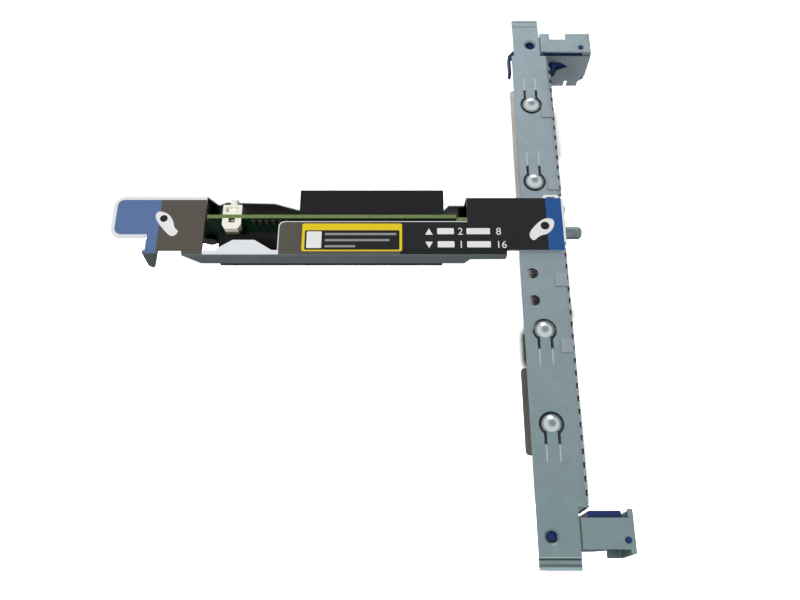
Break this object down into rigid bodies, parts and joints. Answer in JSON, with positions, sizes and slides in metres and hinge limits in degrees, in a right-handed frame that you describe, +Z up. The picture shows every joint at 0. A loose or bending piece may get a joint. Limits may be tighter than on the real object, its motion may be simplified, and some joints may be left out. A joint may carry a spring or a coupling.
{
  "type": "riser card",
  "caption": "Riser card in a folded steel cage: an arm carries an upright board with card sockets, and a rear cross strip has card windows, spring tongues and swinging latch levers.",
  "frame": {"origin": "middle of the riser board's card edge, at the bottom of the tongue", "axes": "+X to the server's rear, +Y along the rear strip towards the short card's window, +Z up out of the system board's socket"},
  "size_m": [0.1927, 0.2266, 0.0316],
  "materials": {
    "bright_steel": "zinc-plated sheet, bright",
    "galvanised_steel": "galvanised sheet, fine mottle",
    "spring_steel": "thin rolled spring steel",
    "blue_plastic": "moulded, satin",
    "green_board": "solder mask over fibreglass",
    "black_plastic": "moulded, fine grain",
    "solder": "tinned",
    "gold": "gold plated",
    "capacitor": "ceramic with tinned ends",
    "white_nylon": "natural nylon",
    "turned_steel": "turned, zinc plated",
    "front_film": "printed polyester film, blue and grey fields",
    "rear_film": "printed polyester film, black with plain fields"
  },
  "bodies": {
    "cage": {"arm_bracket": "bright_steel", "rear_bracket": "galvanised_steel", "latch_housing_upper": "galvanised_steel", "latch_housing_lower": "galvanised_steel", "spring_strip_upper": "spring_steel", "spring_strip_lower": "spring_steel", "riser_board": "green_board", "slot_connector_short": "black_plastic", "slot_connector_long": "black_plastic", "short_connector_tails": "solder", "long_connector_tails": "solder", "edge_contacts": "gold", "board_capacitors": "capacitor", "board_clip": "white_nylon", "board_standoffs": "turned_steel", "board_screws": "turned_steel", "label_front": "front_film", "label_rear": "rear_film", "locating_pin": "turned_steel", "bracket_rivets": "turned_steel"},
    "upper_latch": {"latch_lever_upper": "blue_plastic"},
    "lower_latch": {"latch_lever_lower": "blue_plastic"}
  },
  "joints": [
    {"name": "upper_latch_swing", "type": "hinge", "parent": "cage", "child": "upper_latch", "pos_m": [0.1021, 0.0821, 0.0205], "axis": [0, 0, -1], "range_deg": [0, 55]},
    {"name": "lower_latch_swing", "type": "hinge", "parent": "cage", "child": "lower_latch", "pos_m": [0.1002, -0.1203, 0.0205], "axis": [0, 0, 1], "range_deg": [0, 55]}
  ]
}
